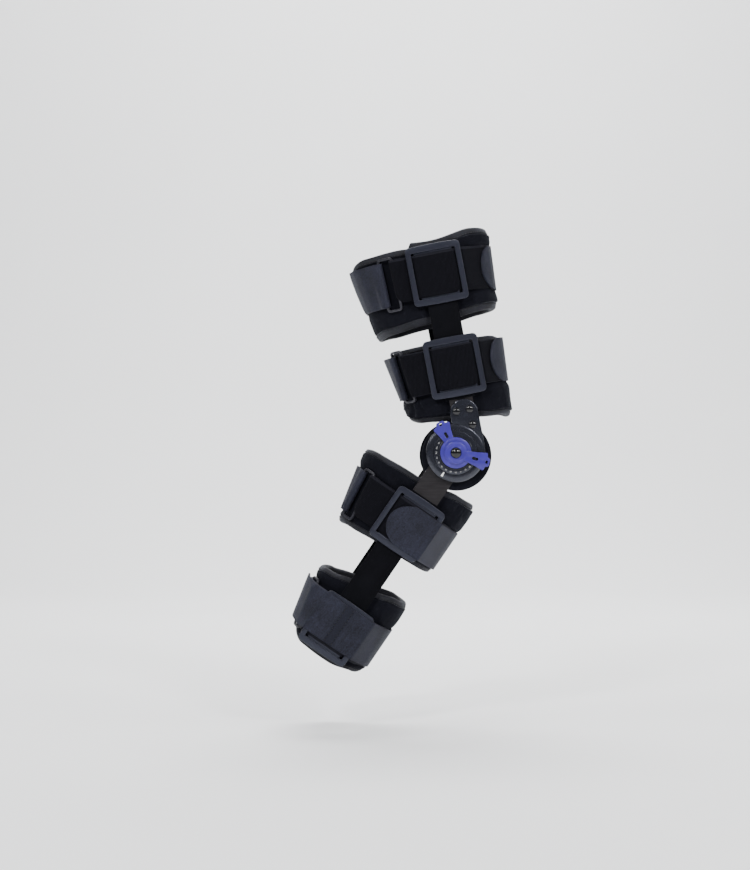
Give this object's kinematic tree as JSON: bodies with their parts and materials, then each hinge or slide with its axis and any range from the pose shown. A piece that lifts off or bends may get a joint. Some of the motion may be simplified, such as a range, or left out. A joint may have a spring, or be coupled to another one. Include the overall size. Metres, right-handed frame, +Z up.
{
  "type": "hinged knee immobilizer",
  "caption": "Hinged knee brace for a right leg: padded cuffs held by side bars, strap buckles and a round hinge with stop levers, knee bent.",
  "frame": {"origin": "the knee's centre, on the hinge axis and midway between the two hinges", "axes": "+X forward, +Y to the inner side of the right leg, along the hinge axis, +Z up; the thigh leans back 10.9 degrees and the calf swings back 34.2 degrees"},
  "size_m": [0.2454, 0.1561, 0.4946],
  "materials": {
    "pad_foam": "matt knitted cover over foam",
    "hook_webbing": "soft grey webbing",
    "loop_webbing": "black looped pile",
    "sleeve_fabric": "black woven sleeve",
    "buckle_plastic": "dark grey satin",
    "ring_metal": "black coated wire",
    "bar_metal": "dark anodised",
    "dial_plastic": "black satin",
    "rivet_metal": "glossy black",
    "lever_plastic": "blue gloss",
    "white_mark": "white print"
  },
  "bodies": {
    "thigh": {"condyle_pad_outer": "pad_foam", "hinge_plate_outer": "dial_plastic", "thigh_bar_outer": "bar_metal", "thigh_sleeve_outer": "sleeve_fabric", "hinge_rivet_outer": "rivet_metal", "plate_rivet_1_outer": "rivet_metal", "plate_rivet_2_outer": "rivet_metal", "plate_rivet_3_outer": "rivet_metal", "condyle_pad_inner": "pad_foam", "hinge_plate_inner": "dial_plastic", "thigh_bar_inner": "bar_metal", "thigh_sleeve_inner": "sleeve_fabric", "hinge_rivet_inner": "rivet_metal", "plate_rivet_1_inner": "rivet_metal", "plate_rivet_2_inner": "rivet_metal", "plate_rivet_3_inner": "rivet_metal", "dial_face": "dial_plastic", "hinge_cover_inner": "dial_plastic", "thigh_upper_pad": "pad_foam", "thigh_upper_loop_strap": "loop_webbing", "thigh_upper_hook_strap": "hook_webbing", "thigh_upper_buckle_outer": "buckle_plastic", "thigh_upper_buckle_inner": "buckle_plastic", "thigh_upper_ring": "ring_metal", "thigh_lower_pad": "pad_foam", "thigh_lower_loop_strap": "loop_webbing", "thigh_lower_hook_strap": "hook_webbing", "thigh_lower_buckle_outer": "buckle_plastic", "thigh_lower_buckle_inner": "buckle_plastic", "thigh_lower_ring": "ring_metal"},
    "calf": {"calf_bar_outer": "bar_metal", "calf_sleeve_outer": "sleeve_fabric", "calf_bar_inner": "bar_metal", "calf_sleeve_inner": "sleeve_fabric", "index_ring": "dial_plastic", "index_pointer": "white_mark", "calf_upper_pad": "pad_foam", "calf_upper_loop_strap": "loop_webbing", "calf_upper_hook_strap": "hook_webbing", "calf_upper_buckle_outer": "buckle_plastic", "calf_upper_buckle_inner": "buckle_plastic", "calf_upper_ring": "ring_metal", "calf_lower_pad": "pad_foam", "calf_lower_loop_strap": "loop_webbing", "calf_lower_hook_strap": "hook_webbing", "calf_lower_buckle_outer": "buckle_plastic", "calf_lower_buckle_inner": "buckle_plastic", "calf_lower_ring": "ring_metal"},
    "flexion_stop": {"flexion_stop_lever": "lever_plastic"},
    "extension_stop": {"extension_stop_lever": "lever_plastic"}
  },
  "joints": [
    {"name": "knee_flexion", "type": "hinge", "parent": "thigh", "child": "calf", "pos_m": [0, 0, 0], "axis": [0, 1, 0], "range_deg": [-45, 45]},
    {"name": "flexion_stop_turn", "type": "hinge", "parent": "thigh", "child": "flexion_stop", "pos_m": [0, -0.07, 0], "axis": [0, -1, 0], "range_deg": [0, 105]},
    {"name": "extension_stop_turn", "type": "hinge", "parent": "thigh", "child": "extension_stop", "pos_m": [0, -0.072, 0], "axis": [0, 1, 0], "range_deg": [0, 60]}
  ]
}
